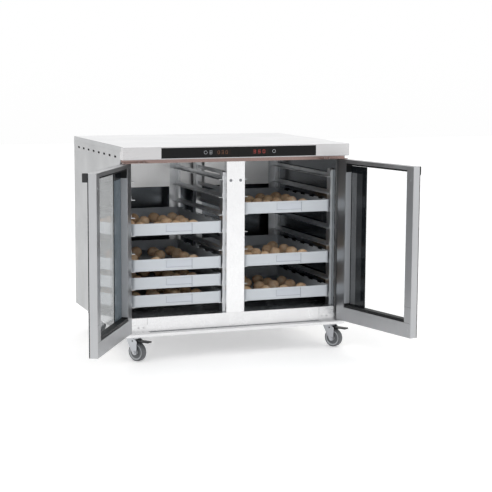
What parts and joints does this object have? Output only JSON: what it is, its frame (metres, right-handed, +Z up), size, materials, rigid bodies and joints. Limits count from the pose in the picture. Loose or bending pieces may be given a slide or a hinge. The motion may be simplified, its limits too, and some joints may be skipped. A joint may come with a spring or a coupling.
{
  "type": "proofing cabinet",
  "caption": "Undercounter dough proofing cabinet with two open glazed doors, a centre post, racked dough boxes, a worktop, a touch control strip and swivel casters.",
  "frame": {"origin": "on the floor, under the centre of the part's bounding box with the doors open as stored", "axes": "+Z up, square to the worktop; -Y out of the doors, +Y towards the rear panel; +X to the right seen from the front"},
  "size_m": [1.3988, 1.294, 0.91],
  "materials": {
    "panel_steel": "fine brushed",
    "bright_steel": "bright",
    "chamber_steel": "bright rolled",
    "aluminium": "satin",
    "black_glass": "glossy touch panel",
    "board": "circuit board",
    "black_plastic": "satin black",
    "insulation": "mineral wool board",
    "box_plastic": "light grey polyethylene",
    "door_glass": "clear, printed dark border",
    "door_seal": "black",
    "zinc": "zinc plated",
    "tread": "grey thermoplastic rubber"
  },
  "bodies": {
    "cabinet": {"worktop": "panel_steel", "fascia": "panel_steel", "rear_panel": "panel_steel", "side_panel_left": "panel_steel", "side_panel_right": "panel_steel", "header_rail": "bright_steel", "base_pan": "bright_steel", "floor_pan": "bright_steel", "mullion": "bright_steel", "water_tray": "bright_steel", "rack_left_outer": "bright_steel", "rack_left_inner": "bright_steel", "rack_right_outer": "bright_steel", "rack_right_inner": "bright_steel", "hinge_bracket_left_lower": "bright_steel", "hinge_bracket_left_upper": "bright_steel", "hinge_bracket_right_lower": "bright_steel", "hinge_bracket_right_upper": "bright_steel", "liner_rear": "chamber_steel", "liner_roof": "chamber_steel", "liner_left": "chamber_steel", "liner_right": "chamber_steel", "heater_element": "chamber_steel", "air_hood": "aluminium", "control_glass": "black_glass", "control_board": "board", "power_inlet": "black_plastic", "fan_motor": "black_plastic", "insulation_left": "insulation", "insulation_right": "insulation", "caster_plate_front_left": "zinc", "caster_plate_front_right": "zinc", "caster_plate_rear_left": "zinc", "caster_plate_rear_right": "zinc"},
    "door_left": {"door_left_frame": "bright_steel", "door_left_glass": "door_glass", "door_left_seal": "door_seal", "door_left_corner_cap": "black_plastic"},
    "door_right": {"door_right_frame": "bright_steel", "door_right_glass": "door_glass", "door_right_seal": "door_seal", "door_right_corner_cap": "black_plastic"},
    "dough_box_left_1": {"dough_box_left_1": "box_plastic"},
    "dough_box_left_2": {"dough_box_left_2": "box_plastic"},
    "dough_box_left_3": {"dough_box_left_3": "box_plastic"},
    "dough_box_left_4": {"dough_box_left_4": "box_plastic"},
    "dough_box_right_1": {"dough_box_right_1": "box_plastic"},
    "dough_box_right_2": {"dough_box_right_2": "box_plastic"},
    "dough_box_right_3": {"dough_box_right_3": "box_plastic"},
    "fan": {"fan_rotor": "aluminium"},
    "swivel_front_left": {"caster_fork_front_left": "zinc"},
    "wheel_front_left": {"caster_wheel_front_left": "tread"},
    "pedal_front_left": {"brake_pedal_front_left": "black_plastic"},
    "swivel_front_right": {"caster_fork_front_right": "zinc"},
    "wheel_front_right": {"caster_wheel_front_right": "tread"},
    "pedal_front_right": {"brake_pedal_front_right": "black_plastic"},
    "swivel_rear_left": {"caster_fork_rear_left": "zinc"},
    "wheel_rear_left": {"caster_wheel_rear_left": "tread"},
    "swivel_rear_right": {"caster_fork_rear_right": "zinc"},
    "wheel_rear_right": {"caster_wheel_rear_right": "tread"}
  },
  "joints": [
    {"name": "door_left_hinge", "type": "hinge", "parent": "cabinet", "child": "door_left", "pos_m": [-0.4136, -0.16459, 0.4845], "axis": [0, 0, -1], "range_deg": [-121, 9]},
    {"name": "door_right_hinge", "type": "hinge", "parent": "cabinet", "child": "door_right", "pos_m": [0.5712, -0.16459, 0.4845], "axis": [0, 0, 1], "range_deg": [-102.6, 27.4]},
    {"name": "dough_box_left_1_slide", "type": "slide", "parent": "cabinet", "child": "dough_box_left_1", "axis": [0, -1, 0], "range_m": [0, 0.43]},
    {"name": "dough_box_left_2_slide", "type": "slide", "parent": "cabinet", "child": "dough_box_left_2", "axis": [0, -1, 0], "range_m": [0, 0.43]},
    {"name": "dough_box_left_3_slide", "type": "slide", "parent": "cabinet", "child": "dough_box_left_3", "axis": [0, -1, 0], "range_m": [0, 0.43]},
    {"name": "dough_box_left_4_slide", "type": "slide", "parent": "cabinet", "child": "dough_box_left_4", "axis": [0, -1, 0], "range_m": [0, 0.43]},
    {"name": "dough_box_right_1_slide", "type": "slide", "parent": "cabinet", "child": "dough_box_right_1", "axis": [0, -1, 0], "range_m": [0, 0.43]},
    {"name": "dough_box_right_2_slide", "type": "slide", "parent": "cabinet", "child": "dough_box_right_2", "axis": [0, -1, 0], "range_m": [0, 0.43]},
    {"name": "dough_box_right_3_slide", "type": "slide", "parent": "cabinet", "child": "dough_box_right_3", "axis": [0, -1, 0], "range_m": [0, 0.43]},
    {"name": "fan_spin", "type": "hinge", "parent": "cabinet", "child": "fan", "pos_m": [-0.1702, 0.56801, 0.7565], "axis": [0, -1, 0], "continuous": true},
    {"name": "swivel_front_left_turn", "type": "hinge", "parent": "cabinet", "child": "swivel_front_left", "pos_m": [-0.3762, -0.08799, 0.108], "axis": [0, 0, 1], "continuous": true},
    {"name": "wheel_front_left_roll", "type": "hinge", "parent": "swivel_front_left", "child": "wheel_front_left", "pos_m": [-0.35496, -0.11949, 0.04], "axis": [0.829, 0.5592, 0], "continuous": true},
    {"name": "pedal_front_left_press", "type": "hinge", "parent": "swivel_front_left", "child": "pedal_front_left", "pos_m": [-0.36055, -0.1112, 0.0875], "axis": [0.829, 0.5592, 0], "range_deg": [0, 14]},
    {"name": "swivel_front_right_turn", "type": "hinge", "parent": "cabinet", "child": "swivel_front_right", "pos_m": [0.5338, -0.08799, 0.108], "axis": [0, 0, 1], "continuous": true},
    {"name": "wheel_front_right_roll", "type": "hinge", "parent": "swivel_front_right", "child": "wheel_front_right", "pos_m": [0.55505, -0.11949, 0.04], "axis": [0.829, 0.5592, 0], "continuous": true},
    {"name": "pedal_front_right_press", "type": "hinge", "parent": "swivel_front_right", "child": "pedal_front_right", "pos_m": [0.54945, -0.1112, 0.0875], "axis": [0.829, 0.5592, 0], "range_deg": [0, 14]},
    {"name": "swivel_rear_left_turn", "type": "hinge", "parent": "cabinet", "child": "swivel_rear_left", "pos_m": [-0.3762, 0.56201, 0.108], "axis": [0, 0, 1], "continuous": true},
    {"name": "wheel_rear_left_roll", "type": "hinge", "parent": "swivel_rear_left", "child": "wheel_rear_left", "pos_m": [-0.35496, 0.53051, 0.04], "axis": [0.829, 0.5592, 0], "continuous": true},
    {"name": "swivel_rear_right_turn", "type": "hinge", "parent": "cabinet", "child": "swivel_rear_right", "pos_m": [0.5338, 0.56201, 0.108], "axis": [0, 0, 1], "continuous": true},
    {"name": "wheel_rear_right_roll", "type": "hinge", "parent": "swivel_rear_right", "child": "wheel_rear_right", "pos_m": [0.55505, 0.53051, 0.04], "axis": [0.829, 0.5592, 0], "continuous": true}
  ]
}
